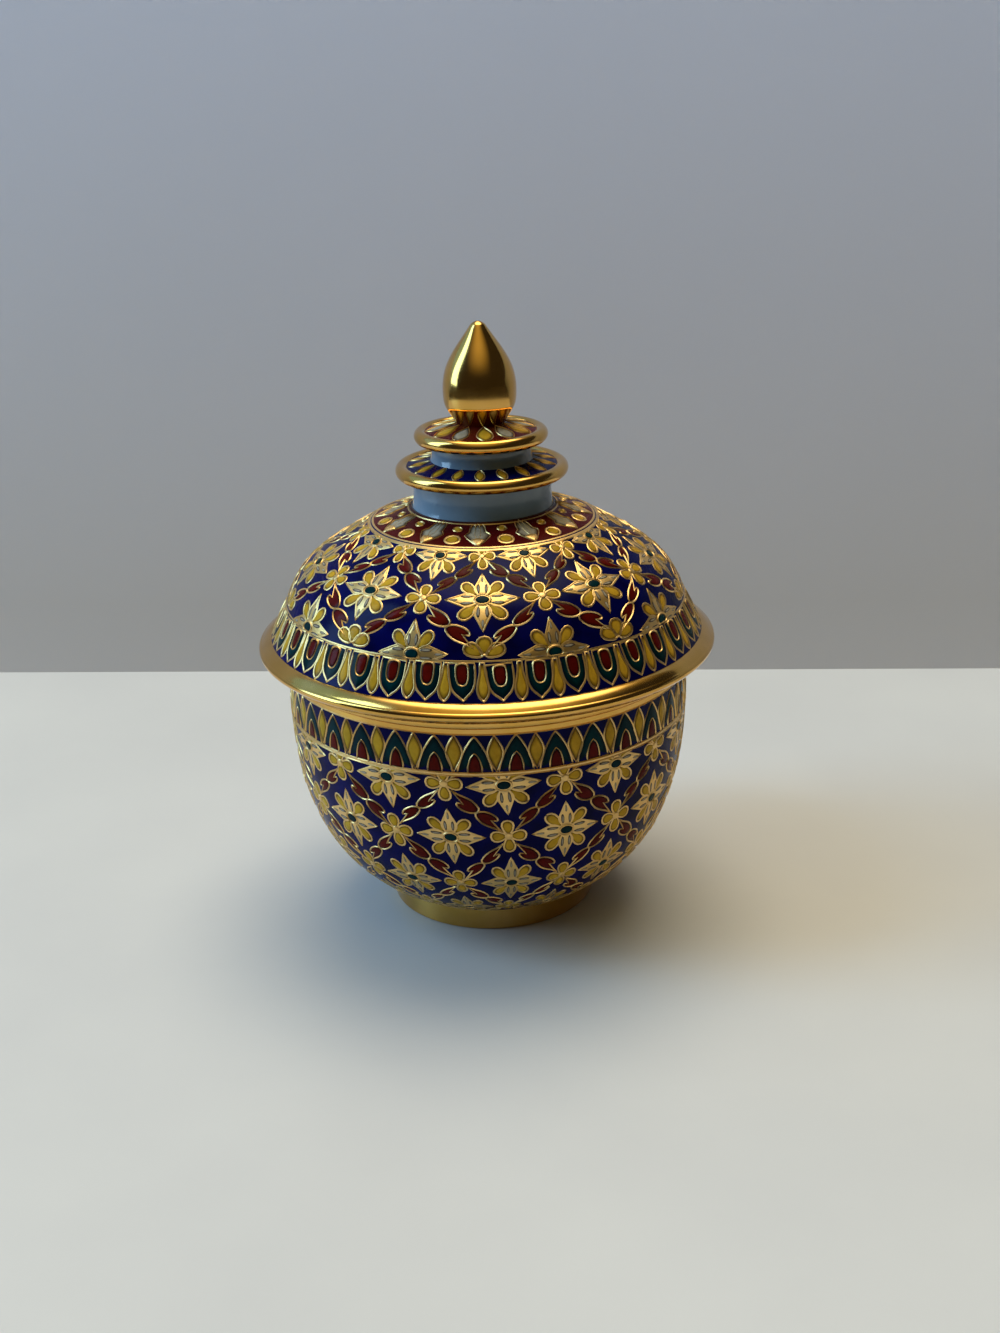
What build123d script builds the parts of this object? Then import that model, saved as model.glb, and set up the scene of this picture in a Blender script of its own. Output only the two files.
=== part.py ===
from build123d import *
import math
import os

# Covered trinket bowl of glazed porcelain: a round-bellied bowl on a low turned foot, and a
# wide-brimmed domed lid that lifts off. The lid carries two round tiers and a lotus-bud knob.
# Every piece is turned about the Z axis. Z = 0 is the surface that the foot stands on.
# All sizes are in millimetres.

# Foot: an upright ring, hollow underneath
FOOT_RADIUS = 20.9
FOOT_HEIGHT = 4.6
FOOT_RING_WIDTH = 3.4
FOOT_TAPER = 0.3
FOOT_EDGE_ROUND = 0.6

# Bowl wall: the outside is one smooth curve that leaves the foot at an angle and ends upright
BOWL_WALL = 3.0
BOWL_RADIUS = 39.4
BELLY_RISE = 39.4
UPRIGHT_RISE = 7.0
FLARE_ANGLE = 29.0
FLARE_REACH = 13.0
BELLY_REACH = 22.0

# Rounded lip on top of the bowl wall, which the lid rests on
LIP_HEIGHT = 3.0
LIP_BULGE = 0.6
LIP_EDGE_INSET = 0.4

# Ring below the lid that keeps it centred in the mouth of the bowl
LOCATING_DEPTH = 3.2
LOCATING_WIDTH = 2.6
LOCATING_CHAMFER = 0.6
LID_CLEARANCE = 0.6

# Lid brim: a flat ring whose outer edge is a rounded bead, a little prouder than the ring's top
BRIM_RADIUS = 45.0
BEAD_RADIUS = 1.75
BEAD_CREASE = 0.2

# Lid dome: a flared skirt, a steep shoulder, a long slope and a flatter crown band
LID_WALL = 3.0
SKIRT_RISE = 6.6
SKIRT_TOP_RADIUS = 39.1
SHOULDER_ANGLE = 69.0
SHOULDER_REACH = 9.0
SLOPE_ANGLE = 31.0
SLOPE_REACH = 13.0
SLOPE_RISE = 15.6
CROWN_RADIUS = 21.7
CROWN_RISE = 2.7

# Two tiers above the crown, each a waisted neck under a disc with a rounded edge
LOWER_NECK_RADIUS = 13.65
LOWER_NECK_HEIGHT = 6.1
LOWER_TIER_RADIUS = 16.65
LOWER_TIER_RISE = 0.65
UPPER_NECK_RADIUS = 9.9
UPPER_NECK_HEIGHT = 3.8
UPPER_TIER_RADIUS = 12.85
UPPER_TIER_RISE = 1.1
NECK_WAIST = 0.35
TIER_EDGE_RADIUS = 1.3
TIER_UNDERSIDE_INSET = 0.45

# Lotus-bud knob
BUD_SEAT_RADIUS = 4.65
BUD_RADIUS = 7.0
BUD_BELLY_HEIGHT = 6.3
BUD_HEIGHT = 19.1
BUD_TIP_RADIUS = 1.1
BUD_TIP_HEIGHT = 0.5
BUD_LOWER_ANGLE = 60.0
BUD_LOWER_REACH = 3.6
BUD_UPPER_ANGLE = 124.0
BUD_UPPER_REACH = 5.2
BUD_TIP_REACH = 5.4

# Heights and radii that follow from the sizes above
SHOULDER_HEIGHT = FOOT_HEIGHT + BELLY_RISE
BOWL_TOP = SHOULDER_HEIGHT + UPRIGHT_RISE
LID_SEAT = BOWL_TOP + LIP_HEIGHT
MOUTH_RADIUS = BOWL_RADIUS - BOWL_WALL
LOCATING_RADIUS = MOUTH_RADIUS - LID_CLEARANCE
BRIM_TOP = LID_SEAT + 2 * BEAD_RADIUS - BEAD_CREASE
BEAD_CENTRE = (BRIM_RADIUS - BEAD_RADIUS, LID_SEAT + BEAD_RADIUS)
CREASE_RADIUS = BEAD_CENTRE[0] - math.sqrt(BEAD_RADIUS ** 2 - (BEAD_RADIUS - BEAD_CREASE) ** 2)
SKIRT_TOP = BRIM_TOP + SKIRT_RISE
CROWN_EDGE = SKIRT_TOP + SLOPE_RISE
CROWN_TOP = CROWN_EDGE + CROWN_RISE
TIER_EDGE_RISE = 2 * TIER_EDGE_RADIUS - TIER_UNDERSIDE_INSET
LOWER_TIER_BASE = CROWN_TOP + LOWER_NECK_HEIGHT
LOWER_TIER_TOP = LOWER_TIER_BASE + TIER_EDGE_RISE + LOWER_TIER_RISE
UPPER_TIER_BASE = LOWER_TIER_TOP + UPPER_NECK_HEIGHT
UPPER_TIER_TOP = UPPER_TIER_BASE + TIER_EDGE_RISE + UPPER_TIER_RISE


def along(point, angle, reach):
    """The point that lies `reach` away, in the direction `angle` above the outward radius."""
    turn = math.radians(angle)
    return (point[0] + reach * math.cos(turn), point[1] + reach * math.sin(turn))


def inset(points, start_angle, end_angle, wall):
    """Four Bezier points moved to their left by the wall, square to the curve at each end."""
    shifted_start = [along(point, start_angle + 90, wall) for point in points[:2]]
    shifted_end = [along(point, end_angle + 90, wall) for point in points[2:]]
    return shifted_start + shifted_end


def turned(outline):
    """A solid of revolution about Z from a closed outline of (radius, height) edges."""
    return revolve(Plane.XZ * make_face(outline), Axis.Z)


def bowl_curve():
    """Four Bezier points of the bowl's outside, from the foot up to the shoulder."""
    start = (FOOT_RADIUS, FOOT_HEIGHT)
    end = (BOWL_RADIUS, SHOULDER_HEIGHT)
    return [start, along(start, FLARE_ANGLE, FLARE_REACH), along(end, -90, BELLY_REACH), end]


def dome_curve():
    """Four Bezier points of the dome's outside, from the skirt up to the crown band."""
    start = (SKIRT_TOP_RADIUS, SKIRT_TOP)
    end = (CROWN_RADIUS, CROWN_EDGE)
    shoulder = along(start, 180 - SHOULDER_ANGLE, SHOULDER_REACH)
    return [start, shoulder, along(end, -SLOPE_ANGLE, SLOPE_REACH), end]


def foot_ring():
    """The turned ring that the bowl stands on, with its two standing edges rounded off."""
    inner = FOOT_RADIUS - FOOT_RING_WIDTH
    ring = turned(Polyline(
        (inner, 0), (FOOT_RADIUS - FOOT_TAPER, 0), (FOOT_RADIUS, FOOT_HEIGHT),
        (inner, FOOT_HEIGHT), close=True,
    ))
    standing_edges = ring.edges().group_by(Axis.Z)[0]
    return fillet(standing_edges, FOOT_EDGE_ROUND)


def bowl_body():
    """The thrown wall and floor of the bowl, of one thickness, with its top cut level."""
    outside = bowl_curve()
    inside = inset(outside, FLARE_ANGLE, 90, BOWL_WALL)
    floor_radius, floor_height = inside[0]
    return turned([
        Polyline((0, floor_height), (0, FOOT_HEIGHT), outside[0]),
        Bezier(*outside),
        Polyline(outside[3], (BOWL_RADIUS, BOWL_TOP), (MOUTH_RADIUS, BOWL_TOP), inside[3]),
        Bezier(*reversed(inside)),
        Line((floor_radius, floor_height), (0, floor_height)),
    ])


def bowl_lip():
    """The thicker rim of the bowl: round outside, straight in the mouth, level where the lid sits."""
    seat_edge = (BOWL_RADIUS - LIP_EDGE_INSET, LID_SEAT)
    bulge = (BOWL_RADIUS + LIP_BULGE, BOWL_TOP + LIP_HEIGHT / 2)
    return turned([
        Polyline((BOWL_RADIUS, BOWL_TOP), (MOUTH_RADIUS, BOWL_TOP), (MOUTH_RADIUS, LID_SEAT), seat_edge),
        ThreePointArc(seat_edge, bulge, (BOWL_RADIUS, BOWL_TOP)),
    ])


def locating_ring():
    """The ring under the lid that drops into the mouth, chamfered to find its way in."""
    inner = LOCATING_RADIUS - LOCATING_WIDTH
    bottom = LID_SEAT - LOCATING_DEPTH
    return turned(Polyline(
        (inner, LID_SEAT), (inner, bottom), (LOCATING_RADIUS - LOCATING_CHAMFER, bottom),
        (LOCATING_RADIUS, bottom + LOCATING_CHAMFER), (LOCATING_RADIUS, LID_SEAT), close=True,
    ))


def lid_brim():
    """The level ring that rests on the bowl's lip, with the bead that runs round its edge."""
    inner = LOCATING_RADIUS - LOCATING_WIDTH
    underside_edge = (BEAD_CENTRE[0], LID_SEAT)
    crease = (CREASE_RADIUS, BRIM_TOP)
    outermost = along(BEAD_CENTRE, 0, BEAD_RADIUS)
    return turned([
        Polyline(underside_edge, (inner, LID_SEAT), (inner, BRIM_TOP), crease),
        ThreePointArc(crease, along(BEAD_CENTRE, 60, BEAD_RADIUS), outermost),
        ThreePointArc(outermost, along(BEAD_CENTRE, -45, BEAD_RADIUS), underside_edge),
    ])


def lid_dome():
    """The thrown dome of the lid, from the crease at the bead up to the level crown."""
    outside = dome_curve()
    inside = inset(outside, 180 - SHOULDER_ANGLE, 180 - SLOPE_ANGLE, LID_WALL)
    ceiling = inside[3][1]
    return turned([
        Polyline((inside[0][0], BRIM_TOP), (CREASE_RADIUS, BRIM_TOP), outside[0]),
        Bezier(*outside),
        Polyline(outside[3], (LOWER_NECK_RADIUS, CROWN_TOP), (0, CROWN_TOP), (0, ceiling), inside[3]),
        Bezier(*reversed(inside)),
        Line(inside[0], (inside[0][0], BRIM_TOP)),
    ])


def neck(radius, base, height):
    """A short neck with a gently drawn-in waist."""
    top = base + height
    waist = (radius - NECK_WAIST, base + height / 2)
    return turned([
        Polyline((radius, base), (0, base), (0, top), (radius, top)),
        ThreePointArc((radius, top), waist, (radius, base)),
    ])


def tier(radius, base, top, seat_radius):
    """A disc on a neck: a rounded edge, and a top that rises to a level seat for the next piece."""
    edge_centre = (radius - TIER_EDGE_RADIUS, base - TIER_UNDERSIDE_INSET + TIER_EDGE_RADIUS)
    outermost = along(edge_centre, 0, TIER_EDGE_RADIUS)
    crease = along(edge_centre, 135, TIER_EDGE_RADIUS)
    edge_drop = TIER_EDGE_RADIUS - TIER_UNDERSIDE_INSET
    underside_edge = (edge_centre[0] - math.sqrt(TIER_EDGE_RADIUS ** 2 - edge_drop ** 2), base)
    return turned([
        Polyline(underside_edge, (0, base), (0, top), (seat_radius, top), crease),
        ThreePointArc(crease, along(edge_centre, 90, TIER_EDGE_RADIUS), outermost),
        ThreePointArc(outermost, along(edge_centre, -60, TIER_EDGE_RADIUS), underside_edge),
    ])


def lotus_bud():
    """The knob: full in the belly, drawn in to a slender, blunt tip."""
    seat = (BUD_SEAT_RADIUS, UPPER_TIER_TOP)
    belly = (BUD_RADIUS, UPPER_TIER_TOP + BUD_BELLY_HEIGHT)
    tip = (0, UPPER_TIER_TOP + BUD_HEIGHT)
    tip_edge = (BUD_TIP_RADIUS, tip[1] - BUD_TIP_HEIGHT)
    lower_pull = along(seat, BUD_LOWER_ANGLE, BUD_LOWER_REACH)
    upper_pull = along(tip_edge, BUD_UPPER_ANGLE - 180, BUD_TIP_REACH)
    return turned([
        Bezier(seat, lower_pull, along(belly, -90, BUD_LOWER_REACH), belly),
        Bezier(belly, along(belly, 90, BUD_UPPER_REACH), upper_pull, tip_edge),
        Bezier(tip_edge, along(tip_edge, BUD_UPPER_ANGLE, BUD_TIP_HEIGHT / 2), (BUD_TIP_RADIUS / 2, tip[1]), tip),
        Polyline(tip, (0, UPPER_TIER_TOP), seat),
    ])


def covered_bowl():
    """Every piece of the bowl and its lid, by name."""
    return {
        "foot_ring": foot_ring(),
        "bowl_body": bowl_body(),
        "bowl_lip": bowl_lip(),
        "locating_ring": locating_ring(),
        "lid_brim": lid_brim(),
        "lid_dome": lid_dome(),
        "lower_neck": neck(LOWER_NECK_RADIUS, CROWN_TOP, LOWER_NECK_HEIGHT),
        "lower_tier": tier(LOWER_TIER_RADIUS, LOWER_TIER_BASE, LOWER_TIER_TOP, UPPER_NECK_RADIUS),
        "upper_neck": neck(UPPER_NECK_RADIUS, LOWER_TIER_TOP, UPPER_NECK_HEIGHT),
        "upper_tier": tier(UPPER_TIER_RADIUS, UPPER_TIER_BASE, UPPER_TIER_TOP, BUD_SEAT_RADIUS),
        "lotus_bud": lotus_bud(),
    }


os.makedirs("parts", exist_ok=True)
for name, solid in covered_bowl().items():
    export_step(solid, f"parts/{name}.step")
    print(f"{name}: volume {solid.volume:.0f} mm3, top at {solid.bounding_box().max.Z:.2f} mm")
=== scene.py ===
# %% [markdown]
# # A covered trinket bowl, enamelled and gilded
# The bowl and its lid are turned porcelain: every outline is carried round one upright axis. What
# makes the piece is the hand painting on it: raised gold outlines, filled with coloured enamels, on
# a cobalt ground. Here the turned walls come first, then the painting, then the glazes. The packed
# model is loaded as a fixed frame, and every length is worked out in millimetres on top of it.

# %% Load the frame
import math

import bpy
import numpy as np
from mathutils import Matrix, Vector


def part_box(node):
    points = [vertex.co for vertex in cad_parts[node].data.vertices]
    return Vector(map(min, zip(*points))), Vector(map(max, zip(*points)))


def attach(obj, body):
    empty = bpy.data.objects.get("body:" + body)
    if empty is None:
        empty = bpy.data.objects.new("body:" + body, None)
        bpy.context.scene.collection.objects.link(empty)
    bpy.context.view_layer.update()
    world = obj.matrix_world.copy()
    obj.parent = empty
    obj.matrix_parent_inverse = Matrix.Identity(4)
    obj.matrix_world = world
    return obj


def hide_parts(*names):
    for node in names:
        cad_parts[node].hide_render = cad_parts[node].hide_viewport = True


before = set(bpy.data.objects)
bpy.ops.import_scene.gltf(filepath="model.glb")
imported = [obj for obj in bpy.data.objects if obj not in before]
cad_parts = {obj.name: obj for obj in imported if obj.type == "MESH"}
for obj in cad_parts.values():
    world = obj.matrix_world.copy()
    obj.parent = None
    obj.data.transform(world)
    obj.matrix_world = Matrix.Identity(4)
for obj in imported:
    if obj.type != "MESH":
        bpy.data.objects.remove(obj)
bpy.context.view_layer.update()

MM = 0.001
TINY = 1e-9
print("packed nodes:", sorted(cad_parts))

# %% [markdown]
# ## The camera
# A camera is a place, three directions and a focal length. The directions are built up from three
# small turns: down towards the table, a touch to the right, and a slight lean of the frame. The
# focal length is kept in pixels of the photograph's 1333-pixel height, and turned into millimetres
# on a 36 mm sensor, because the longer side of the picture takes the whole sensor.

# %% Place the camera
CAMERA_BACK = 328.3
CAMERA_UP = 171.9
CAMERA_DOWN = math.radians(20.65)
CAMERA_ASIDE = math.radians(0.43)
CAMERA_LEAN = math.radians(-1.54)
FOCAL_PIXELS = 1750
PHOTO_HEIGHT = 1333
SENSOR = 36.0
NEAREST_SEEN = 0.01


def camera_directions(down, aside, lean):
    """Right, up and forward: forward leans down and aside, and the lean turns right and up about it."""
    forward = np.array([math.sin(aside) * math.cos(down), math.cos(aside) * math.cos(down), -math.sin(down)])
    level = np.array([math.cos(aside), -math.sin(aside), 0.0])
    rise = np.cross(level, forward)
    right = math.cos(lean) * level + math.sin(lean) * rise
    up = math.cos(lean) * rise - math.sin(lean) * level
    return right, up, forward


def add_camera():
    """A camera whose matrix has right, up and backward as its columns, and its place as the last."""
    data = bpy.data.cameras.new("camera")
    data.sensor_width = SENSOR
    data.lens = FOCAL_PIXELS * SENSOR / PHOTO_HEIGHT
    data.clip_start = NEAREST_SEEN
    camera = bpy.data.objects.new("camera", data)
    bpy.context.collection.objects.link(camera)
    right, up, forward = camera_directions(CAMERA_DOWN, CAMERA_ASIDE, CAMERA_LEAN)
    matrix = np.eye(4)
    matrix[:3, 0] = right
    matrix[:3, 1] = up
    matrix[:3, 2] = -forward
    matrix[:3, 3] = (0, -CAMERA_BACK * MM, CAMERA_UP * MM)
    camera.matrix_world = Matrix(matrix.tolist())
    bpy.context.scene.camera = camera


add_camera()

# %% [markdown]
# ## Sizes from the frame
# The painting has to lie exactly on the porcelain, so the outlines are rebuilt from the packed
# pieces: their boxes give the heights. The radii are those that the solids were turned to, and the
# few values that a box doesn't show, such as how full the belly is, are the maker's own.

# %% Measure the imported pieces


def top_of(node):
    """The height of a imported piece's highest point, in millimetres."""
    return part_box(node)[1][2] / MM


FOOT_RADIUS = 20.9
FOOT_RING_WIDTH = 3.4
FOOT_TAPER = 0.3
FOOT_EDGE_ROUND = 0.6
FOOT_HEIGHT = top_of("foot_ring")
BOWL_RADIUS = 39.4
BOWL_TOP = top_of("bowl_body")
SHOULDER_HEIGHT = BOWL_TOP - 7.0
LID_SEAT = top_of("bowl_lip")
WALL = 3.0
MOUTH_RADIUS = BOWL_RADIUS - WALL
LIP_BULGE = 0.6
LIP_EDGE_INSET = 0.4
LOCATING_RADIUS = MOUTH_RADIUS - 0.6
LOCATING_WIDTH = 2.6
LOCATING_CHAMFER = 0.6
LOCATING_DEPTH = 3.2
BRIM_RADIUS = 45.0
BRIM_DIP = 0.2
BEAD_RADIUS = (top_of("lid_brim") - LID_SEAT) / 2
BRIM_TOP = LID_SEAT + 2 * BEAD_RADIUS - BRIM_DIP
SKIRT_TOP_RADIUS = 39.1
SKIRT_TOP = BRIM_TOP + 6.6
CROWN_RADIUS = 21.7
CROWN_TOP = top_of("lid_dome")
CROWN_EDGE = CROWN_TOP - 2.7
LOWER_NECK_RADIUS = 13.65
UPPER_NECK_RADIUS = 9.9
NECK_WAIST = 0.35
LOWER_TIER_RADIUS = 16.65
UPPER_TIER_RADIUS = 12.85
TIER_EDGE_RADIUS = 1.3
TIER_UNDERSIDE_INSET = 0.45
TIER_CREASE_ANGLE = 135
BUD_SEAT_RADIUS = 4.65
BUD_RADIUS = 7.0
BUD_BELLY_HEIGHT = 6.3
BUD_TIP_RADIUS = 1.4
BUD_TIP_FLAT = 0.55
BUD_TIP_DROP = 0.7
print("seat", round(LID_SEAT, 2), "crown", round(CROWN_TOP, 2), "tip", round(top_of("lotus_bud"), 2))

# %% [markdown]
# ## Outlines
# Each porcelain wall is one outline of (radius, height) points. The bellies are cubic curves, and
# the beads and rounded edges are arcs through three points, as they were in the solid model.

# %% Curves for the outlines


def along(point, angle, reach):
    """The point that lies `reach` away, in the direction `angle` above the outward radius."""
    turn = math.radians(angle)
    return (point[0] + reach * math.cos(turn), point[1] + reach * math.sin(turn))


def swelling(start, end, angles, pulls):
    """Four curve points: the curve sets out at the first angle, and arrives at the second."""
    return [start, along(start, angles[0], pulls[0]), along(end, angles[1] - 180, pulls[1]), end]


def shifted(points, angles, wall):
    """Four curve points moved to their left by the wall, square to the curve at each end."""
    first = [along(point, angles[0] + 90, wall) for point in points[:2]]
    return first + [along(point, angles[1] + 90, wall) for point in points[2:]]


def curve(points, count):
    """A cubic curve: its four points, weighted by the cubic shares of the way along."""
    share = np.linspace(0, 1, count)[:, None]
    start, start_pull, end_pull, end = np.array(points, dtype=float)
    rest = 1 - share
    return rest**3 * start + 3 * rest * share * (rest * start_pull + share * end_pull) + share**3 * end


def arc_through(start, middle, end, count=17):
    """The circle's part through three points: the centre is equally far from all three."""
    start, middle, end = np.array([start, middle, end], dtype=float)
    sides = 2 * np.array([middle - start, end - start])
    centre = np.linalg.solve(sides, [middle @ middle - start @ start, end @ end - start @ start])
    spokes = np.array([start, middle, end]) - centre
    angles = np.unwrap(np.arctan2(spokes[:, 1], spokes[:, 0]))
    angle = np.interp(np.linspace(0, 2, count), [0, 1, 2], angles)
    return centre + np.linalg.norm(spokes[0]) * np.column_stack((np.cos(angle), np.sin(angle)))


def straight(*points):
    """Points joined by straight lines."""
    return np.array(points, dtype=float)


def stepped(start, end, count):
    """A straight line cut into equal steps, so that paint can follow it closely."""
    share = np.linspace(0, 1, count)[:, None]
    return (1 - share) * np.array(start, dtype=float) + share * np.array(end, dtype=float)


# %% Outline the bowl and the dome
BOWL_START = (FOOT_RADIUS, FOOT_HEIGHT)
BOWL_END = (BOWL_RADIUS, SHOULDER_HEIGHT)
BOWL_ANGLES = (29, 90)
BOWL_PULLS = (13, 22)
DOME_START = (SKIRT_TOP_RADIUS, SKIRT_TOP)
DOME_END = (CROWN_RADIUS, CROWN_EDGE)
DOME_ANGLES = (111, 149)
DOME_PULLS = (9, 13)
BEAD_CENTRE = (BRIM_RADIUS - BEAD_RADIUS, LID_SEAT + BEAD_RADIUS)
CREASE = (BEAD_CENTRE[0] - math.sqrt(BEAD_RADIUS**2 - (BRIM_TOP - BEAD_CENTRE[1]) ** 2), BRIM_TOP)
bowl_curve = swelling(BOWL_START, BOWL_END, BOWL_ANGLES, BOWL_PULLS)
dome_curve = swelling(DOME_START, DOME_END, DOME_ANGLES, DOME_PULLS)
bowl_outside = curve(bowl_curve, count=64)[::-1]
dome_outside = curve(dome_curve, count=48)[::-1]
print("crease of the bead at radius", round(CREASE[0], 2))

# %% [markdown]
# ## Turned pieces
# A thrown pot is an outline that goes once round the wheel. The outline is cut into parts, and each
# part has its own finish, because one wall can be enamelled outside, glazed white inside and gilded
# at its edge. Where the outline reaches the axis, its ring of points is drawn together into one.

# %% Carry an outline round the axis
ROUND = 288
SMOOTH_UP_TO = math.radians(35)


def finish_named(name):
    """The material of that name, made empty if it isn't there yet. Its nodes come later."""
    return bpy.data.materials.get(name) or bpy.data.materials.new(name)


def make_piece(name, vertices, faces, finishes, body, smooth_up_to=SMOOTH_UP_TO):
    """A mesh from arrays. faces is a list of (corner numbers, finish number of each face).

    The volume under the faces is added up, and all faces are turned over if it is negative.
    """
    volume = 0.0
    for corners, _ in faces:
        points = vertices[corners]
        for k in range(1, corners.shape[1] - 1):
            volume += np.sum(points[:, 0] * np.cross(points[:, k], points[:, k + 1]))
    order = slice(None, None, 1 if volume > 0 else -1)
    corner_lists = [corners[:, order].tolist() for corners, _ in faces]
    mesh = bpy.data.meshes.new(name)
    mesh.from_pydata((vertices * MM).tolist(), [], sum(corner_lists, []))
    for finish in finishes:
        mesh.materials.append(finish_named(finish))
    mesh.polygons.foreach_set("material_index", np.concatenate([zones for _, zones in faces]))
    mesh.shade_smooth()
    mesh.set_sharp_from_angle(angle=smooth_up_to)
    mesh.update()
    piece = bpy.data.objects.new(name, mesh)
    bpy.context.collection.objects.link(piece)
    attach(piece, body)
    return piece


def turned(name, node, body, parts):
    """Each outline point goes round: x = radius sin(turn), y = -radius cos(turn), z = height.

    parts is a list of (points, finish), each starting where the last one ends. An outline that
    ends where it starts makes a ring, and one that starts and ends on the axis a closed vessel.
    """
    rows = np.concatenate([points[:-1] for points, _ in parts] + [parts[-1][0][-1:]])
    finishes = list(dict.fromkeys(finish for _, finish in parts))
    zones = np.concatenate([np.full(len(points) - 1, finishes.index(finish)) for points, finish in parts])
    turn = np.linspace(0, 2 * math.pi, ROUND, endpoint=False)
    circle = np.column_stack((np.sin(turn), -np.cos(turn)))
    flat = rows[:, None, :1] * circle
    tall = np.broadcast_to(rows[:, None, 1:], (len(rows), ROUND, 1))
    vertices = np.concatenate((flat, tall), axis=2).reshape(-1, 3)
    number = np.arange(len(vertices)).reshape(-1, ROUND)
    poles = rows[:, 0] < TINY
    number[poles] = number[poles, :1]
    if np.allclose(rows[0], rows[-1]):
        number[-1] = number[0]
    here, there = number[:-1], number[1:]
    quads = np.stack((here, np.roll(here, -1, 1), np.roll(there, -1, 1), there), axis=2)
    starts, ends = poles[:-1], poles[1:]
    wall = ~(starts | ends)
    faces = [
        (quads[wall].reshape(-1, 4), np.repeat(zones[wall], ROUND)),
        (quads[ends & ~starts][:, :, [0, 1, 2]].reshape(-1, 3), np.repeat(zones[ends & ~starts], ROUND)),
        (quads[starts & ~ends][:, :, [0, 2, 3]].reshape(-1, 3), np.repeat(zones[starts & ~ends], ROUND)),
    ]
    used, renumbered = np.unique(np.concatenate([f.ravel() for f, _ in faces]), return_inverse=True)
    split = np.cumsum([f.size for f, _ in faces])[:-1]
    faces = [(part.reshape(f.shape), z) for part, (f, z) in zip(np.split(renumbered, split), faces)]
    piece = make_piece(name, vertices[used], faces, finishes, body)
    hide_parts(node)


# %% [markdown]
# ## The bowl
# The bowl is cobalt outside up to its gilded lip, and white glaze inside. The foot is gilded on the
# outside, and its standing edge is left unglazed, so that it doesn't stick to the kiln shelf.

# %% Turn the bowl
GILT_FROM = 50.0
inside_bowl = shifted(bowl_curve, BOWL_ANGLES, WALL)
turned("bowl_wall", "bowl_body", "bowl", [
    (straight((0, FOOT_HEIGHT), BOWL_START), "white_glaze"),
    (bowl_outside[::-1], "cobalt_enamel"),
    (stepped(BOWL_END, (BOWL_RADIUS, GILT_FROM), 9), "cobalt_enamel"),
    (straight((BOWL_RADIUS, GILT_FROM), (BOWL_RADIUS, BOWL_TOP)), "gilding"),
    (straight((BOWL_RADIUS, BOWL_TOP), (MOUTH_RADIUS, BOWL_TOP), inside_bowl[3]), "white_glaze"),
    (curve(inside_bowl[::-1], count=48), "white_glaze"),
    (straight(inside_bowl[0], (0, inside_bowl[0][1])), "white_glaze"),
])

lip_edge = (BOWL_RADIUS - LIP_EDGE_INSET, LID_SEAT)
lip_bulge = (BOWL_RADIUS + LIP_BULGE, (BOWL_TOP + LID_SEAT) / 2)
turned("bowl_lip_gilded", "bowl_lip", "bowl", [
    (straight((MOUTH_RADIUS, LID_SEAT), lip_edge), "gilding"),
    (arc_through(lip_edge, lip_bulge, (BOWL_RADIUS, BOWL_TOP)), "gilding"),
    (straight((BOWL_RADIUS, BOWL_TOP), (MOUTH_RADIUS, BOWL_TOP), (MOUTH_RADIUS, LID_SEAT)), "white_glaze"),
])

foot_inner = FOOT_RADIUS - FOOT_RING_WIDTH
outer_round = (FOOT_RADIUS - FOOT_TAPER - FOOT_EDGE_ROUND, FOOT_EDGE_ROUND)
inner_round = (foot_inner + FOOT_EDGE_ROUND, FOOT_EDGE_ROUND)
outer_edge = [along(outer_round, angle, FOOT_EDGE_ROUND) for angle in (0, -45, -90)]
inner_edge = [along(inner_round, angle, FOOT_EDGE_ROUND) for angle in (-90, -135, -180)]
turned("foot_ring_gilded", "foot_ring", "bowl", [
    (straight((foot_inner, FOOT_HEIGHT), BOWL_START, outer_edge[0]), "gilding"),
    (arc_through(*outer_edge, 9), "gilding"),
    (straight(outer_edge[2], inner_edge[0]), "bare_clay"),
    (arc_through(*inner_edge, 9), "white_glaze"),
    (straight(inner_edge[2], (foot_inner, FOOT_HEIGHT)), "white_glaze"),
])
print("bowl turned,", ROUND, "steps round")

# %% [markdown]
# ## The lid
# The lid is a dome on a flat brim, with a ring under the brim that drops into the mouth. A gilded
# bead goes round the brim's edge: it slopes down from its crease, turns sharply at its nose, and
# runs back under. The slope is given by angles and distances from the crease, and the nose by
# distances in from the brim's edge and heights above the seat. Two small discs on necks and a lotus
# bud are stacked on the crown. Each is its own turned piece, as it was before the parts were joined
# with slip and fired.

# %% Turn the lid's wall
crown_start = (LOWER_NECK_RADIUS, CROWN_TOP)
inside_dome = shifted(dome_curve, DOME_ANGLES, WALL)
turned("lid_wall", "lid_dome", "lid", [
    (straight((0, CROWN_TOP), crown_start), "maroon_enamel"),
    (stepped(crown_start, DOME_END, 9), "maroon_enamel"),
    (dome_outside, "cobalt_enamel"),
    (stepped(DOME_START, CREASE, 9), "cobalt_enamel"),
    (straight(CREASE, (inside_dome[0][0], BRIM_TOP), inside_dome[0]), "white_glaze"),
    (curve(inside_dome, count=48), "white_glaze"),
    (straight(inside_dome[3], (0, inside_dome[3][1])), "white_glaze"),
])

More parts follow.
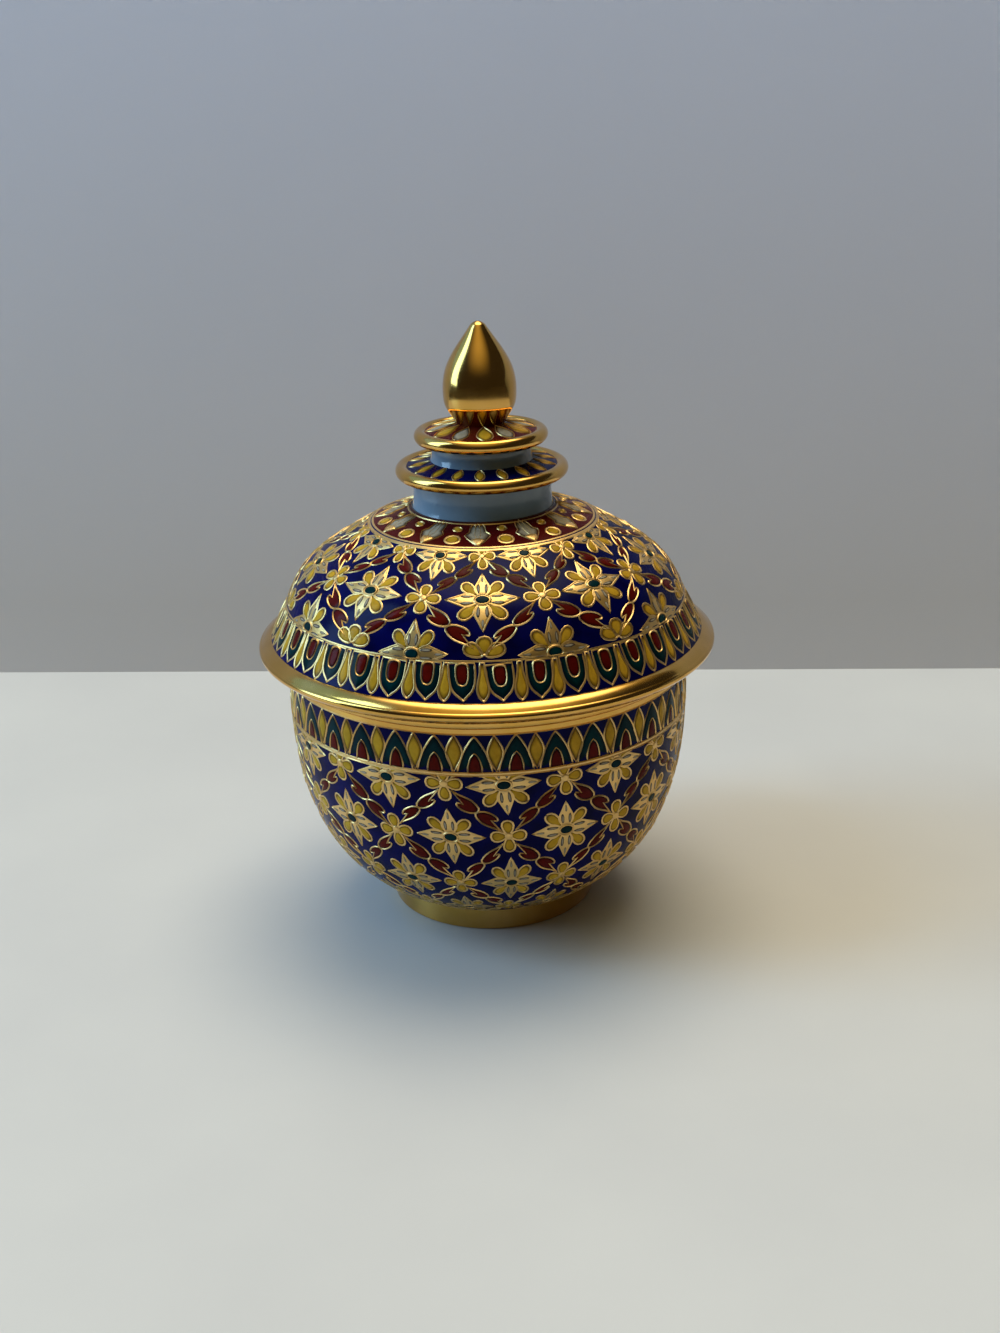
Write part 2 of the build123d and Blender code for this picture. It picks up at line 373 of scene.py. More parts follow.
# %% Turn the brim and its bead
BEAD_SLOPE = ((-8, 0.6), (-21, 1.4), (-31, 2.35))
BEAD_NOSE = ((0.0, 1.35), (0.2, 0.75), (1.0, 0.0))
ring_inner = LOCATING_RADIUS - LOCATING_WIDTH
bead_slope = [CREASE] + [along(CREASE, angle, reach) for angle, reach in BEAD_SLOPE]
nose, under_nose, bead_foot = [(BRIM_RADIUS - inset, LID_SEAT + rise) for inset, rise in BEAD_NOSE]
gilt_end = (BOWL_RADIUS + LIP_BULGE, LID_SEAT)
turned("lid_brim_gilded", "lid_brim", "lid", [
    (straight((ring_inner, BRIM_TOP), CREASE), "white_glaze"),
    (curve(bead_slope, count=25), "gilding"),
    (arc_through(bead_slope[-1], nose, under_nose, 13), "gilding"),
    (straight(under_nose, bead_foot, gilt_end), "gilding"),
    (straight(gilt_end, (ring_inner, LID_SEAT), (ring_inner, BRIM_TOP)), "white_glaze"),
])

# %% Turn the locating ring
ring_bottom = LID_SEAT - LOCATING_DEPTH
turned("lid_locating_ring", "locating_ring", "lid", [
    (straight(
        (ring_inner, LID_SEAT), (LOCATING_RADIUS, LID_SEAT),
        (LOCATING_RADIUS, ring_bottom + LOCATING_CHAMFER),
        (LOCATING_RADIUS - LOCATING_CHAMFER, ring_bottom),
        (ring_inner, ring_bottom), (ring_inner, LID_SEAT),
    ), "white_glaze"),
])

# %% Turn the necks and the tiers
TIER_STEPS = 7


def turn_neck(name, node, radius):
    """A short neck between two levels, drawn in a little at its waist."""
    base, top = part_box(node)[0][2] / MM, top_of(node)
    waist = (radius - NECK_WAIST, (base + top) / 2)
    turned(name, node, "lid", [
        (straight((0, top), (radius, top)), "neck_glaze"),
        (arc_through((radius, top), waist, (radius, base)), "neck_glaze"),
        (straight((radius, base), (0, base)), "neck_glaze"),
    ])


def tier_points(node, radius):
    """A disc's base and top levels, the middle of its round edge, and where that meets the base.

    The base is the level where the disc rests on its neck. The edge hangs a little below it.
    """
    base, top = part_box(node)[0][2] / MM + TIER_UNDERSIDE_INSET, top_of(node)
    centre = (radius - TIER_EDGE_RADIUS, base - TIER_UNDERSIDE_INSET + TIER_EDGE_RADIUS)
    drop = TIER_EDGE_RADIUS - TIER_UNDERSIDE_INSET
    under = (centre[0] - math.sqrt(TIER_EDGE_RADIUS**2 - drop**2), base)
    return base, top, centre, under


def turn_tier(name, node, radius, seat_radius, ground):
    """A disc: a painted cone on top, from the next neck out to a round gilded edge."""
    base, top, centre, under = tier_points(node, radius)
    side = along(centre, 0, TIER_EDGE_RADIUS)
    crease = along(centre, TIER_CREASE_ANGLE, TIER_EDGE_RADIUS)
    turned(name, node, "lid", [
        (straight((0, top), (seat_radius, top)), ground),
        (stepped((seat_radius, top), crease, TIER_STEPS), ground),
        (arc_through(crease, along(centre, 90, TIER_EDGE_RADIUS), side, 21), "gilding"),
        (arc_through(side, along(centre, -60, TIER_EDGE_RADIUS), under, 21), "gilding"),
        (straight(under, (0, base)), "gilding"),
    ])


turn_neck("lower_neck_glazed", "lower_neck", LOWER_NECK_RADIUS)
turn_tier("lower_tier_gilded", "lower_tier", LOWER_TIER_RADIUS, UPPER_NECK_RADIUS, "cobalt_enamel")
turn_neck("upper_neck_glazed", "upper_neck", UPPER_NECK_RADIUS)
turn_tier("upper_tier_gilded", "upper_tier", UPPER_TIER_RADIUS, BUD_SEAT_RADIUS, "maroon_enamel")

# %% Turn the lotus bud
BUD_TIP_ANGLE = 124
BUD_FOOT_ANGLE = 60
BUD_PULLS = (0.25, 5.4, 5.2, 3.6)
bud_base, bud_top = top_of("upper_tier"), top_of("lotus_bud")
bud_seat = (BUD_SEAT_RADIUS, bud_base)
bud_belly = (BUD_RADIUS, bud_base + BUD_BELLY_HEIGHT)
tip_edge = (BUD_TIP_RADIUS, bud_top - BUD_TIP_DROP)
tip_pull, flank_pull, belly_pull, foot_pull = BUD_PULLS
above_tip_edge = along(tip_edge, BUD_TIP_ANGLE, tip_pull)
below_tip_edge = along(tip_edge, BUD_TIP_ANGLE - 180, flank_pull)
above_belly = along(bud_belly, 90, belly_pull)
below_belly = along(bud_belly, -90, foot_pull)
above_seat = along(bud_seat, BUD_FOOT_ANGLE, foot_pull)
turned("lotus_bud_gilded", "lotus_bud", "lid", [
    (curve([(0, bud_top), (BUD_TIP_FLAT, bud_top), above_tip_edge, tip_edge], count=9), "gilding"),
    (curve([tip_edge, below_tip_edge, above_belly, bud_belly], count=33), "gilding"),
    (curve([bud_belly, below_belly, above_seat, bud_seat], count=17), "gilding"),
    (straight(bud_seat, (0, bud_base)), "gilding"),
])
print("lid turned, bud tip at", round(bud_top, 2), "mm")

# %% [markdown]
# ## A wall unrolled
# The painting is drawn on flat paper first, as it were: a place on the wall is a turn about the axis
# and a distance down the outline. A skin turns such places into points in space, and it also knows
# which way is outwards, so that gold can stand up from the wall and enamel can swell over it.

# %% The skins that get painted


class Skin:
    """The outside of a turned wall, from its top down."""

    def __init__(self, outline):
        """Keeps the outline, the way down to each of its points, and its direction there."""
        self.outline = outline
        steps = np.linalg.norm(np.diff(outline, axis=0), axis=1)
        self.way = np.concatenate(([0.0], np.cumsum(steps)))
        self.length = float(self.way[-1])
        slope = np.gradient(outline, self.way, axis=0)
        self.slope = slope / np.linalg.norm(slope, axis=1)[:, None]

    def down_to(self, height):
        """How far down the outline a height lies."""
        return np.interp(-np.asarray(height, dtype=float), -self.outline[:, 1], self.way)

    def height_at(self, down):
        """The height of the outline, so far down it."""
        return np.interp(down, self.way, self.outline[:, 1])

    def outwards(self, places):
        """The outward direction at each place: square to the outline, turned about the axis."""
        run = np.interp(places[..., 1], self.way, self.slope[:, 0])
        fall = np.interp(places[..., 1], self.way, self.slope[:, 1])
        turn = places[..., 0]
        return np.stack((-fall * np.sin(turn), fall * np.cos(turn), run), axis=-1)

    def at(self, places, lift=0.0):
        """The points at (turn, distance down), lifted off the wall by so many millimetres."""
        radius = np.interp(places[..., 1], self.way, self.outline[:, 0])
        height = self.height_at(places[..., 1])
        turn = places[..., 0]
        ground = np.stack((radius * np.sin(turn), -radius * np.cos(turn), height), axis=-1)
        return ground + lift * self.outwards(places)


bowl_skin = Skin(np.concatenate((stepped((BOWL_RADIUS, BOWL_TOP), BOWL_END, 12)[:-1], bowl_outside)))
dome_skin = Skin(dome_outside)
skirt_skin = Skin(stepped(DOME_START, CREASE, 9))
crown_skin = Skin(stepped(crown_start, DOME_END, 9))


def tier_skin(node, radius, seat_radius):
    """The painted cone on top of a disc."""
    _, top, centre, _ = tier_points(node, radius)
    crease = along(centre, TIER_CREASE_ANGLE, TIER_EDGE_RADIUS)
    return Skin(stepped((seat_radius, top), crease, TIER_STEPS))


lower_tier_skin = tier_skin("lower_tier", LOWER_TIER_RADIUS, UPPER_NECK_RADIUS)
upper_tier_skin = tier_skin("upper_tier", UPPER_TIER_RADIUS, BUD_SEAT_RADIUS)
print("way down the bowl", round(bowl_skin.length, 1), "mm, down the dome", round(dome_skin.length, 1))

# %% [markdown]
# ## Bands of painting
# A painter divides each band into equal steps round and rows down, and draws the same motif in each
# place. A band here does that: it takes drawings in steps and rows, and lays them on its skin. What
# would run over the band's edge is held at the edge, where a gold line covers it.

# %% Lay drawings on a skin
chance = np.random.default_rng(11)
EDGE_SLACK = 0.2
PLACE_ERROR = 0.011
LEAN_ERROR = math.radians(2.0)
SIZE_ERROR = 0.022


class Band:
    """A painted band: so many steps round, and rows at given distances down its skin."""

    def __init__(self, skin, top, bottom, steps, rows, offsets, sway=0.0):
        """rows are distances down for row -1, 0, 1 and so on; offsets turn each row a little."""
        self.skin, self.top, self.bottom = skin, top, bottom
        self.step = 2 * math.pi / steps
        self.rows = np.asarray(rows, dtype=float)
        self.offsets = np.radians(np.broadcast_to(offsets, self.rows.shape))
        self.sway = sway

    def lay(self, drawings):
        """drawings[..., 0] counts steps to the right, and drawings[..., 1] counts rows down.

        The rows in between are read off a straight line. The sway is a slow drift of the steps
        round the wall, as a hand-divided circle has: turn = even turn - sway sin(even turn).
        """
        number = np.arange(len(self.rows)) - 1
        down = np.interp(drawings[..., 1], number, self.rows)
        even = drawings[..., 0] * self.step + np.interp(drawings[..., 1], number, self.offsets)
        turn = even - self.sway * np.sin(even)
        low, high = down.max(axis=1), down.min(axis=1)
        kept = (low > self.top + EDGE_SLACK) & (high < self.bottom - EDGE_SLACK)
        return np.stack((turn, np.clip(down, self.top, self.bottom)), axis=-1)[kept]


def one_row(skin, top, foot, steps, offset):
    """A band with a single row: its motifs stand on row 1, the foot, and reach up to row 0."""
    return Band(skin, top, foot, steps, [top, top, foot], offset)


def spots(columns, rows, unsteady=1.0, across=1.0, tall=1.0):
    """Where a motif goes: column, row, lean, width and height, with a painter's small errors."""
    columns, rows = np.broadcast_arrays(np.asarray(columns, dtype=float), np.asarray(rows, dtype=float))
    count = columns.size
    drift = chance.normal(0, PLACE_ERROR * unsteady, (2, count))
    lean = chance.normal(0, LEAN_ERROR * unsteady, count)
    size = 1 + chance.normal(0, SIZE_ERROR * unsteady, (2, count))
    return np.column_stack((
        columns.ravel() + drift[0], rows.ravel() + drift[1], lean, across * size[0], tall * size[1],
    ))


def stamped(drawing, places):
    """One drawing at many spots: leaned, stretched, and moved. A drawing's second axis goes up."""
    right, up = drawing[:, 0], drawing[:, 1]
    lean = places[:, 2:3]
    across = (right * np.cos(lean) - up * np.sin(lean)) * places[:, 3:4]
    rise = (right * np.sin(lean) + up * np.cos(lean)) * places[:, 4:5]
    return np.stack((places[:, 0:1] + across, places[:, 1:2] - rise), axis=-1)


# %% [markdown]
# ## Gold lines and enamel pads
# The gold outlines are trailed on with a fine nib and stand up from the glaze. The enamel is laid
# inside them, thick and wet, so that each field is a low cushion. A gold line is a small three-sided
# bar carried along its path. A cushion is a sunk rim, a shoulder, a swell and a raised middle, and it
# keeps a number that is one at its rim and nothing on its swell: where it is one, its finish paints
# the enamel darker, as painted shade along the gold.

# %% Gold lines
SINK = 0.05
LINE_WIDTH = 0.46
LINE_HEIGHT = 0.15


def gold_line(skin, paths, closed, width=LINE_WIDTH, height=LINE_HEIGHT):
    """Bars along paths: each point gets a left foot, a top and a right foot.

    The side direction is the outward direction crossed with the way along the path.
    """
    points = skin.at(paths)
    outwards = skin.outwards(paths)
    if closed:
        ahead = np.roll(points, -1, axis=1) - np.roll(points, 1, axis=1)
    else:
        ahead = np.gradient(points, axis=1)
    side = np.cross(outwards, ahead)
    side /= np.maximum(np.linalg.norm(side, axis=-1, keepdims=True), TINY)
    across = width * np.array([0.5, 0.0, -0.5])[:, None]
    lift = np.array([-SINK, height, -SINK])[:, None]
    vertices = points[:, :, None] + across * side[:, :, None] + lift * outwards[:, :, None]
    number = np.arange(3 * paths.shape[1]).reshape(-1, 3)
    following = np.roll(number, -1, axis=0)
    ends = np.array([[0, 2, 1], number[-1]]) if not closed else np.empty((0, 3), dtype=int)
    if not closed:
        number, following = number[:-1], following[:-1]
    quads = np.stack((number, np.roll(number, -1, 1), np.roll(following, -1, 1), following), axis=-1)
    vertices = vertices.reshape(len(paths), -1, 3)
    return vertices, quads.reshape(-1, 4), ends, np.zeros(vertices.shape[1])


# %% Enamel cushions
SHOULDER_SHARE = 0.84
SWELL_SHARE = 0.56
SWELL_RISE = 0.8


def cushion(skin, loops, shoulder, middle):
    """Filled shapes: the last point of each loop is the place of its middle.

    The rim lies under the wall, the shoulder and the swell are the rim drawn towards the middle,
    and fans close the top and the bottom. Loops that run the wrong way round are turned over first.
    """
    rim, centre = loops[:, :-1], loops[:, -1:]
    after = np.roll(rim, -1, axis=1)
    clockwise = np.sum(rim[..., 0] * after[..., 1] - after[..., 0] * rim[..., 1], axis=1) > 0
    rim = np.where(clockwise[:, None, None], rim[:, ::-1], rim)
    drawn_in = [centre + share * (rim - centre) for share in (SHOULDER_SHARE, SWELL_SHARE)]
    swell = shoulder + SWELL_RISE * (middle - shoulder)
    vertices = np.concatenate((
        skin.at(rim, -SINK), skin.at(drawn_in[0], shoulder), skin.at(drawn_in[1], swell),
        skin.at(centre, middle), skin.at(centre, -SINK),
    ), axis=1)
    count = rim.shape[1]
    here = np.arange(count)
    there = np.roll(here, -1)
    quads = np.column_stack((here, there, there + count, here + count))
    top = np.column_stack((here + 2 * count, there + 2 * count, np.full(count, 3 * count)))
    bottom = np.column_stack((there, here, np.full(count, 3 * count + 1)))
    # One on the rim and shoulder, where the finish paints shade along the gold, and nothing on the swell and
    # middle.
    edge = np.concatenate((np.ones(2 * count), np.zeros(count + 1), (1.0,)))
    return vertices, np.concatenate((quads, quads + count)), np.concatenate((top, bottom)), edge


# %% The pots that hold them
PAINT_SMOOTH_UP_TO = math.radians(80)


class Pot:
    """One colour of the painting: shapes are added as arrays, and made one piece at the end."""

    def __init__(self, finish):
        """An empty pot of that finish."""
        self.finish = finish
        self.vertices, self.quads, self.triangles, self.tones, self.edges = [], [], [], [], []

    def add(self, vertices, quads, triangles, edge):
        """The faces of one shape are numbered again for each copy. Each copy gets its own tone."""
        filled = sum(len(block) for block in self.vertices)
        start = filled + np.arange(len(vertices))[:, None, None] * vertices.shape[1]
        self.vertices.append(vertices.reshape(-1, 3))
        self.quads.append((quads + start).reshape(-1, 4))
        self.triangles.append((triangles + start).reshape(-1, 3))
        self.tones.append(np.repeat(chance.random(len(vertices)), vertices.shape[1]))
        self.edges.append(np.tile(edge, len(vertices)))

    def empty_out(self, name, body, slot):
        """Makes the piece, with each copy's tone as an attribute that its finish reads."""
        quads, triangles = np.concatenate(self.quads), np.concatenate(self.triangles)
        faces = [(f, np.zeros(len(f), dtype=int)) for f in (quads, triangles)]
        vertices = np.concatenate(self.vertices)
        piece = make_piece(name, vertices, faces, [self.finish], body, PAINT_SMOOTH_UP_TO)
        for label, numbers in (("tone", self.tones), ("edge", self.edges)):
            attribute = piece.data.attributes.new(label, "FLOAT", "POINT")
            attribute.data.foreach_set("value", np.concatenate(numbers))
        print(name, len(quads) * 2 + len(triangles), "triangles")


# %% [markdown]
# ## Drawings
# The motifs are drawn once, in steps of their band. Petals and leaves are given by a few points on
# one side, made smooth, and mirrored.

# %% Drawing helpers


def flowing(points, per_step=2):
    """A smooth line through points: cubics whose slope is half the step between the neighbours."""
    points = np.asarray(points, dtype=float)
    padded = np.concatenate((2 * points[:1] - points[1:2], points, 2 * points[-1:] - points[-2:-1]))
    share = (np.arange(per_step) / per_step)[None, :, None]
    before, start, end, after = (padded[k:len(padded) - 3 + k, None] for k in range(4))
    bend = 2 * before - 5 * start + 4 * end - after + share * (3 * (start - end) + after - before)
    line = start + 0.5 * share * (end - before + share * bend)
    return np.concatenate((line.reshape(-1, 2), points[-1:]))


def both_sides(side, per_step=2):
    """A closed outline from its left side, base to tip: the right side is the mirror image.

    Points on the middle line are kept once.
    """
    left = flowing(side, per_step)
    right = left[::-1] * (-1, 1)
    right = right[np.abs(right[:, 0]) > TINY]
    return np.concatenate((left, right))


def rounded_petal(base, tip, half_width, narrowing, count=16):
    """An egg shape: up = base + length (1 - cos t) / 2, and right = half width times sin t.

    The narrowing is the share of the width that is left at the base.
    """
    t = np.linspace(0, 2 * math.pi, count, endpoint=False)
    rise = (1 - np.cos(t)) / 2
    right = half_width * np.sin(t) * (narrowing + (1 - narrowing) * rise)
    return np.column_stack((right, base + (tip - base) * rise))


def oval(right, up, half_width, half_height, count=14):
    """An ellipse about a point."""
    t = np.linspace(0, 2 * math.pi, count, endpoint=False)
    return np.column_stack((right + half_width * np.cos(t), up + half_height * np.sin(t)))


def leaned(drawing, degrees, stretch=1.0):
    """A drawing stretched upwards, then turned clockwise about its origin."""
    turn = math.radians(degrees)
    right, up = drawing[:, 0], drawing[:, 1] * stretch
    return np.column_stack((
        right * math.cos(turn) + up * math.sin(turn), up * math.cos(turn) - right * math.sin(turn),
    ))


def with_middle(outline, middle=None):
    """The outline followed by its middle, which a cushion fans out from."""
    middle = outline.mean(axis=0) if middle is None else middle
    return np.concatenate((outline, [middle]))


# %% The painter


class Painter:
    """Draws motifs on one band, and keeps the right pots filled."""

    def __init__(self, band, pots):
        """The band to paint on, and the pots by colour."""
        self.band, self.pots = band, pots

    def outline(self, colour, drawing, places, closed=True, **size):
        """A gold line along the drawing at every place."""
        paths = self.band.lay(stamped(drawing, places))
        if len(paths):
            self.pots[colour].add(*gold_line(self.band.skin, paths, closed, **size))

    def fill(self, colour, drawing, places, middle=None, shoulder=0.02, crown=0.11):
        """A cushion inside the drawing at every place."""
        loops = self.band.lay(stamped(with_middle(drawing, middle), places))
        if len(loops):
            self.pots[colour].add(*cushion(self.band.skin, loops, shoulder, crown))

    def field(self, colour, drawing, places, middle=None, gold="flowers", **size):
        """An enamel cushion with its gold outline."""
        self.fill(colour, drawing, places, middle)
        self.outline(gold, drawing, places, **size)


# %% [markdown]
# ### The star flower
# The large flower of the lattice has four pointed petals, upright and level, and four round yellow
# ones between them. The pointed petals are gold, with two slits and a drop at the tip that are
# filled with pale enamel. The slits have a dark brown edge, so that the gold between them stands
# out as a vein. The heart is a dark green oval.

# %% Draw the star flower
STAR_LINE = 0.50
SLIT_PLACE = 0.058
SLIT_LEAN = 1.5
LEVEL_STRETCH = 1.09
POINTED_MIDDLE = np.array([(0.0, 0.25)])
pointed_petal = both_sides([
    (-0.06, 0.09), (-0.115, 0.16), (-0.135, 0.23), (-0.095, 0.33), (-0.048, 0.43), (0.0, 0.55),
])
round_petal = rounded_petal(0.11, 0.485, 0.128, 0.4)
slit = rounded_petal(0.13, 0.32, 0.023, 0.8, 10)
slit_shade = rounded_petal(0.112, 0.34, 0.039, 0.8, 10)
tip_drop = rounded_petal(0.505, 0.345, 0.034, 0.3, 10)
heart_seat = oval(0, 0, 0.165, 0.135, 16)
heart = oval(0, 0, 0.13, 0.088)
heart_line = oval(0, 0, 0.135, 0.096)


def star_flowers(painter, places):
    """Petals first, then the gold heart that covers their bases, then the green oval."""
    for degrees in (45, 135, 225, 315):
        painter.field("yellow", leaned(round_petal, degrees), places, width=STAR_LINE)
    for degrees, stretch in ((0, 1.0), (90, LEVEL_STRETCH), (180, 1.0), (270, LEVEL_STRETCH)):
        petal = leaned(pointed_petal, degrees, stretch)
        middle = leaned(POINTED_MIDDLE, degrees)[0]
        painter.fill("flowers", petal, places, middle, shoulder=0.06, crown=0.10)
        painter.outline("flowers", petal, places, width=STAR_LINE)
        painter.fill("pale", leaned(tip_drop, degrees, stretch), places, shoulder=0.09, crown=0.13)
        for side in (-1, 1):
            for colour, shape, shoulder in (("umber", slit_shade, 0.09), ("pale", slit, 0.11)):
                drawn = leaned(shape, side * SLIT_LEAN) + (side * SLIT_PLACE, 0)
                drawn = leaned(drawn, degrees, stretch)
                painter.fill(colour, drawn, places, shoulder=shoulder, crown=shoulder + 0.03)
    painter.fill("flowers", heart_seat, places, shoulder=0.13, crown=0.17)
    painter.fill("teal", heart, places, shoulder=0.17, crown=0.21)
    painter.outline("flowers", heart_line, places, width=STAR_LINE, height=0.26)


# %% [markdown]
# ### The small flower and the hooked leaves
# Between the star flowers sit small flowers of four round petals. Hooked red leaves, two and two,
# tie them together in diagonals, so that the ground shows as a net of blue. Each leaf's two outlines
# meet in a thin stem that reaches into the small flower. The leaves that lean to the right were
# drawn slimmer than the others, as one hand does.

# %% Draw the small flower and the leaves
SPRIG_LEAN = 56
LEAF_REACH = 0.4525
LEAF_BACK = [
    (-1.24, 0.0), (-0.98, 0.05), (-0.72, 0.17), (-0.42, 0.26), (-0.08, 0.20), (0.0, 0.0), (-0.17, -0.24),
    (-0.45, -0.38), (-0.68, -0.38), (-0.76, -0.27), (-0.555, -0.13),
]
LEAF_HOOK = [(-0.555, -0.13), (-0.78, -0.07), (-1.24, 0.0)]
LEAF_MIDDLE = (-0.4, -0.07)
LEAF_JOINT = (0.5, 0.5)
BROAD_LEAF = 0.88
SLIM_LEAF = 0.66
small_petal = rounded_petal(0.03, 0.30, 0.125, 0.5, 14)
small_knot = oval(0, 0, 0.075, 0.075, 10)


def hooked_leaf(breadth):
    """The leaf's outline and middle, with its joint at the origin and its tail up to the left."""
    outline = np.concatenate((flowing(LEAF_BACK)[:-1], flowing(LEAF_HOOK, 1)[:-1]))
    points = with_middle(outline, LEAF_MIDDLE) * LEAF_REACH * (1, breadth)
    ahead = np.array([math.sqrt(0.5), -math.sqrt(0.5)])
    across = np.array([math.sqrt(0.5), math.sqrt(0.5)])
    return points[:, :1] * ahead + points[:, 1:] * across


def small_flowers(painter, places):
    """Four round petals and a gold knot."""
    for degrees in (0, 90, 180, 270):
        painter.field("yellow", leaned(small_petal, degrees), places, width=STAR_LINE)
    painter.fill("flowers", small_knot, places, shoulder=0.15, crown=0.22)


def sprigs(painter, places):
    """Three petals that stand on a line: a half flower for the foot of the dome."""
    for degrees in (-SPRIG_LEAN, SPRIG_LEAN, 0):
        painter.field("yellow", leaned(small_petal, degrees), places, width=STAR_LINE)


def hooked_leaves(painter, places):
    """Two leaves from one joint, the second turned half round, and the mirror image of both."""
    for mirror, breadth in ((1, BROAD_LEAF), (-1, SLIM_LEAF)):
        leaf = hooked_leaf(breadth)
        for half in (1, -1):
            drawn = (leaf * half + LEAF_JOINT) * (mirror, 1)
            painter.field("red", drawn[:-1], places, drawn[-1], gold="leaves")


# %% [markdown]
# ### Gold rings
# Most bands end at a gold ring, which is one closed line round the wall. A thin umber line hides the
# joint with the foot, and another under the neck is painted shade in the gap between neck and crown.

# %% Draw rings
SLOW_WAVER = 0.03
QUICK_WAVER = 0.02


def gold_ring(skin, pot, level, width=LINE_WIDTH, height=LINE_HEIGHT):
    """A line at one level, with a slight waver, as on a banding wheel: two sines of the turn."""
    turn = np.linspace(0, 2 * math.pi, ROUND, endpoint=False)
    waver = SLOW_WAVER * np.sin(2 * turn + level) + QUICK_WAVER * np.sin(5 * turn)
    down = np.clip(skin.down_to(level) + waver, 0, skin.length)
    path = np.stack((turn, down), axis=-1)[None]
    pot.add(*gold_line(skin, path, True, width, height))


# %% [markdown]
# ## Painting the bowl
# The bowl has four rows of star flowers, eleven to a row, and a frieze of pointed arches under the
# lip. The top row is cut by the double gold line, and the bottom row by the line above the foot.

# %% Paint the bowl
BOWL_COLUMNS = 22
BOWL_ROWS = bowl_skin.down_to([40.2, 29.0, 17.4, 8.7])
BOWL_OFFSETS = (3.0, 3.5, 4.7, 5.6, 5.6, 5.6)
FRIEZE_TOP = GILT_FROM
FRIEZE_FOOT = 42.5
LATTICE_TOP = 41.9
LATTICE_FOOT = 4.95
ROW_ABOVE = 11.2
ROW_BELOW = 9.0
GOLD_POTS = ("flowers", "leaves", "frieze")
ENAMEL_POTS = {"yellow": "yellow_enamel", "pale": "pale_enamel", "red": "red_enamel", "teal": "green_enamel"}


def set_of_pots():
    """A pot for each kind of gold line, one for each enamel, and one of umber."""
    pots = {name: Pot("raised_gold") for name in GOLD_POTS}
    pots.update({name: Pot(name + "_enamel") for name in ENAMEL_POTS})
    pots["umber"] = Pot("umber_line")
    return pots


def empty_all(pots, body, umber_piece):
    """Makes each pot one piece, named for its body. The umber pot's piece has a name of its own."""
    for name in GOLD_POTS:
        pots[name].empty_out(body + "_gold_" + name, body, "gilding")
    for name, ending in ENAMEL_POTS.items():
        pots[name].empty_out(body + "_" + ending, body, "enamelled_porcelain")
    pots["umber"].empty_out(umber_piece, body, "enamelled_porcelain")


def lattice_places(columns, rows, parity):
    """Every column and row whose numbers add up to an even or an odd number."""
    column, row = np.meshgrid(np.arange(columns), np.asarray(rows))
    chosen = (column + row) % 2 == parity
    return column[chosen], row[chosen]


bowl_pots = set_of_pots()
bowl_lattice = Band(
    bowl_skin, bowl_skin.down_to(LATTICE_TOP), bowl_skin.down_to(LATTICE_FOOT), BOWL_COLUMNS,
    [BOWL_ROWS[0] - ROW_ABOVE, *BOWL_ROWS, BOWL_ROWS[-1] + ROW_BELOW], BOWL_OFFSETS,
)
lattice_painter = Painter(bowl_lattice, bowl_pots)
hooked_leaves(lattice_painter, spots(*lattice_places(BOWL_COLUMNS, range(5), 0), unsteady=0.6))
small_flowers(lattice_painter, spots(*lattice_places(BOWL_COLUMNS, range(-1, 5), 1)))
star_flowers(lattice_painter, spots(*lattice_places(BOWL_COLUMNS, range(4), 0)))

# %% [markdown]
# The frieze repeats a green arch with a red heart, and a pointed yellow leaf between two arches. The
# lid's skirt has the same kind of frieze, hanging, so one function paints both.

# %% Paint the bowl's frieze
FRIEZE_UNSTEADY = 0.8
ARCHES = 33


def paint_frieze(painter, count, arch, heart, between, width=LINE_WIDTH, heart_width=LINE_WIDTH):
    """Green arches with red hearts, and a yellow shape between every two of them.

    arch and heart are each a drawing and its middle.
    """
    on_step = spots(np.arange(count), 1, unsteady=FRIEZE_UNSTEADY)
    off_step = spots(np.arange(count) + 0.5, 1, unsteady=FRIEZE_UNSTEADY)
    painter.field("teal", arch[0], on_step, arch[1], gold="frieze", width=width)
    painter.fill("red", heart[0], on_step, heart[1], shoulder=0.10, crown=0.17)
    painter.outline("frieze", heart[0], on_step, width=heart_width, height=0.22)
    painter.field("yellow", between, off_step, gold="frieze", width=width)


arch = both_sides([(-0.43, 0.0), (-0.40, 0.2), (-0.28, 0.55), (-0.1, 0.86), (0.0, 0.97)], 3)
arch_heart = both_sides([(-0.175, 0.0), (-0.165, 0.2), (-0.10, 0.42), (0.0, 0.54)], 3)
leaf_between = both_sides([(0.0, 0.04), (-0.13, 0.3), (-0.195, 0.55), (-0.11, 0.80), (0.0, 0.98)])
bowl_frieze = one_row(
    bowl_skin, bowl_skin.down_to(FRIEZE_TOP), bowl_skin.down_to(FRIEZE_FOOT), ARCHES, offset=-4.0,
)
frieze_painter = Painter(bowl_frieze, bowl_pots)
paint_frieze(frieze_painter, ARCHES, (arch, (0, 0.55)), (arch_heart, (0, 0.2)), leaf_between)

# %% [markdown]
# Gold rings close the bowl's bands: a plain one at the lip, and a pair with a low flat one between
# them under the frieze. The umber line goes round the joint with the foot. The umber pot holds the
# dark edges of the petals' slits as well, and goes into the same piece.

# %% Ring the bowl
JOINT_COVER = 0.15
gold_ring(bowl_skin, bowl_pots["frieze"], FRIEZE_TOP)
gold_ring(bowl_skin, bowl_pots["frieze"], FRIEZE_FOOT, width=0.34, height=0.18)
gold_ring(bowl_skin, bowl_pots["frieze"], LATTICE_TOP, width=0.34, height=0.18)
gold_ring(bowl_skin, bowl_pots["frieze"], (FRIEZE_FOOT + LATTICE_TOP) / 2, width=0.9, height=0.06)
gold_ring(bowl_skin, bowl_pots["umber"], FOOT_HEIGHT + JOINT_COVER, width=0.4, height=0.07)
empty_all(bowl_pots, "bowl", "bowl_foot_line")
